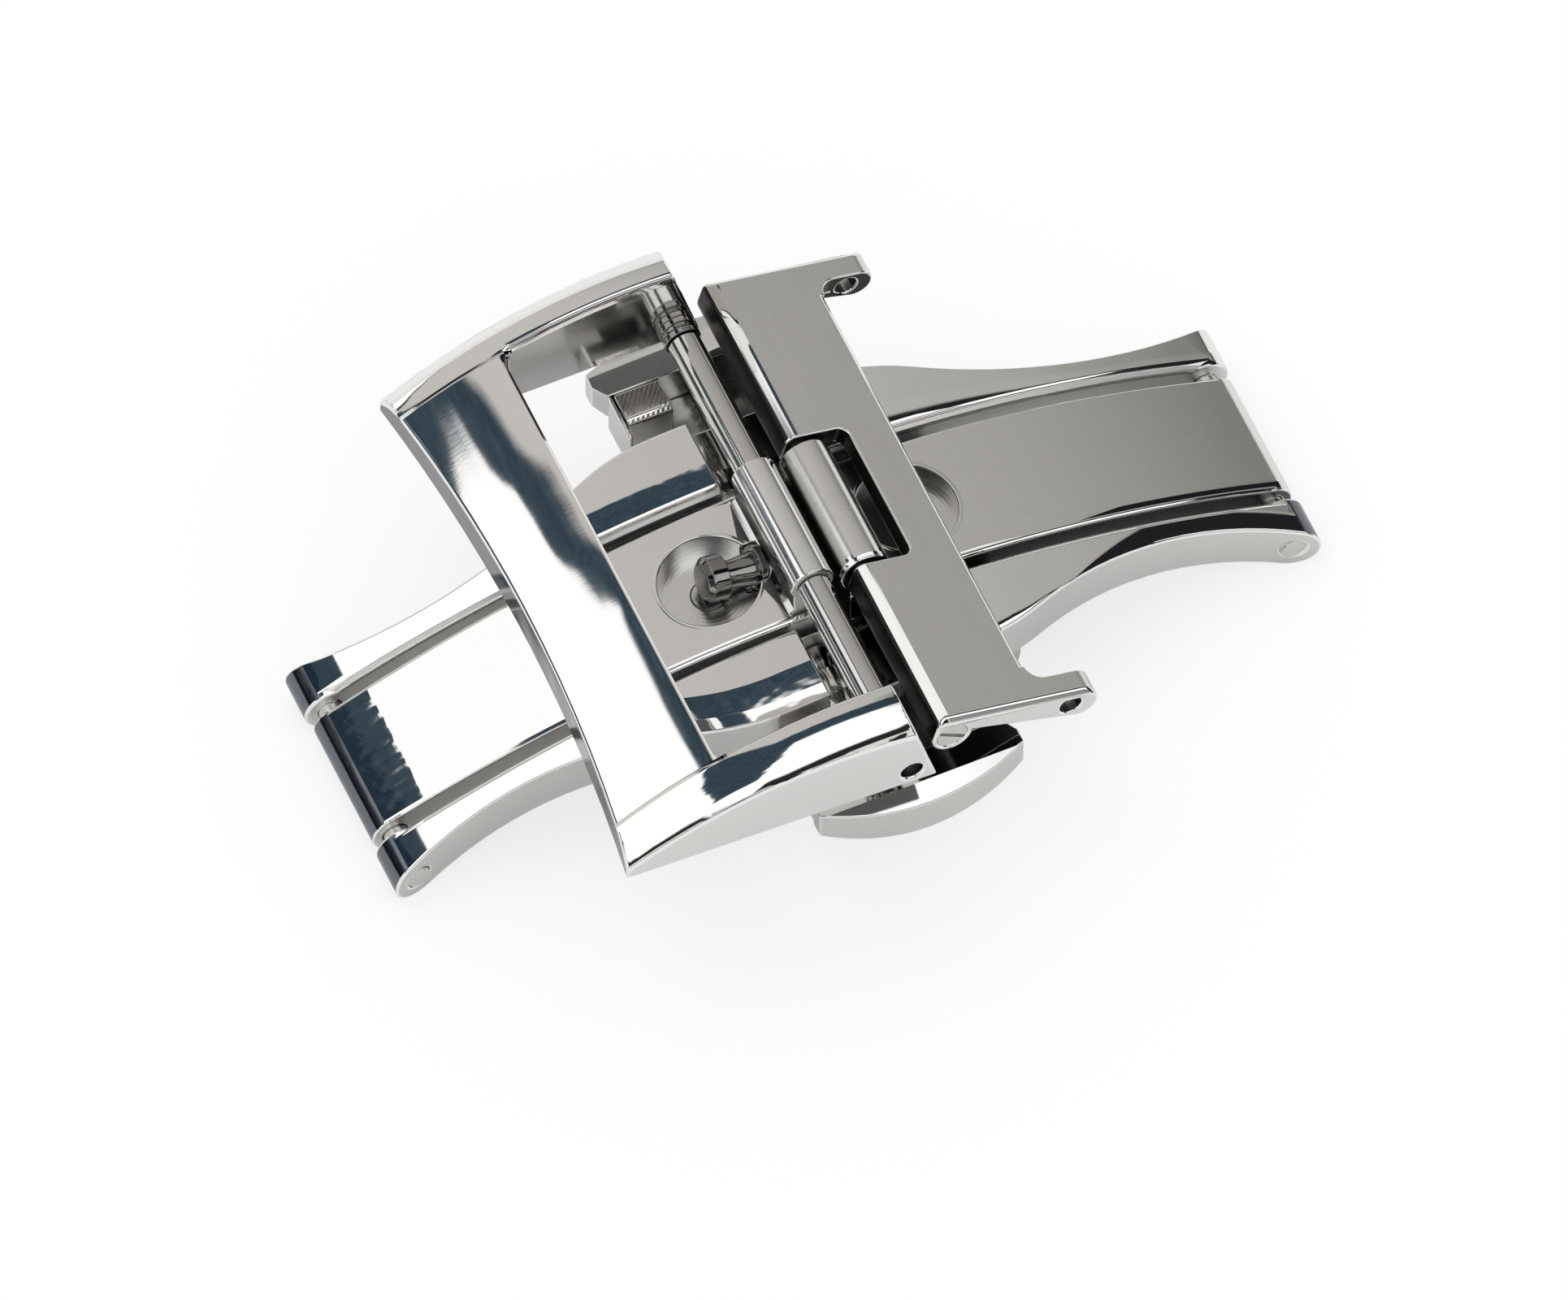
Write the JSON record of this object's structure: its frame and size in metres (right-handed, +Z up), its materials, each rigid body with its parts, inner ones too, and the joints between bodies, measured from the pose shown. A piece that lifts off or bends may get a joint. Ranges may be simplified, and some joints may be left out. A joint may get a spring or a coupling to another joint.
{
  "type": "watch strap deployant clasp",
  "caption": "Push-button butterfly deployant clasp for a watch strap: bowed bridge, two folding arms, buckle frame with strap stud, and eared strap link.",
  "frame": {"origin": "centre of the bounding box's bottom face, on the surface the two bridge ends stand on", "axes": "+X along the strap from the buckle frame's outer end towards the strap link, +Y across the strap, +Z up out of the wrist side"},
  "size_m": [0.0352, 0.022, 0.0099],
  "materials": {
    "polished_steel": "polished stainless steel",
    "satin_steel": "fine brushed stainless steel",
    "spring_steel": "dark drawn spring wire",
    "screw_steel": "turned screw steel"
  },
  "bodies": {
    "bridge": {"bridge": "polished_steel", "latch_cover": "satin_steel", "cover_screws": "screw_steel", "left_hinge_pin": "satin_steel", "right_hinge_pin": "satin_steel"},
    "left_arm": {"left_arm": "polished_steel", "left_catch_post": "satin_steel", "strap_stud": "polished_steel"},
    "right_arm": {"right_arm": "satin_steel", "right_catch_post": "satin_steel"},
    "buckle_frame": {"buckle_frame": "polished_steel", "cross_bar": "satin_steel", "near_sleeve": "satin_steel", "far_sleeve": "satin_steel", "bar_collars": "polished_steel"},
    "strap_link": {"strap_link": "satin_steel", "link_pin": "satin_steel", "link_screws": "screw_steel"},
    "near_button": {"near_button": "polished_steel", "near_slide": "satin_steel", "near_guide_rod": "satin_steel", "near_spring": "spring_steel"},
    "far_button": {"far_button": "polished_steel", "far_slide": "satin_steel", "far_guide_rod": "satin_steel", "far_spring": "spring_steel"}
  },
  "joints": [
    {"name": "left_arm_fold", "type": "hinge", "parent": "bridge", "child": "left_arm", "pos_m": [-0.0166, 0, 0.00095], "axis": [0, -1, 0], "range_deg": [0, 150]},
    {"name": "right_arm_fold", "type": "hinge", "parent": "bridge", "child": "right_arm", "pos_m": [0.0166, 0, 0.00095], "axis": [0, 1, 0], "range_deg": [0, 150]},
    {"name": "frame_lift", "type": "hinge", "parent": "left_arm", "child": "buckle_frame", "pos_m": [-0.0008, 0, 0.0068], "axis": [0, 1, 0], "range_deg": [0, 45]},
    {"name": "link_swing", "type": "hinge", "parent": "right_arm", "child": "strap_link", "pos_m": [0.00115, 0, 0.00645], "axis": [0, -1, 0], "range_deg": [0, 100]},
    {"name": "near_button_press", "type": "slide", "parent": "bridge", "child": "near_button", "axis": [0, 1, 0], "range_m": [0, 0.0007], "stiffness_N_per_m": 400},
    {"name": "far_button_press", "type": "slide", "parent": "bridge", "child": "far_button", "axis": [0, -1, 0], "range_m": [0, 0.0007], "stiffness_N_per_m": 400}
  ]
}
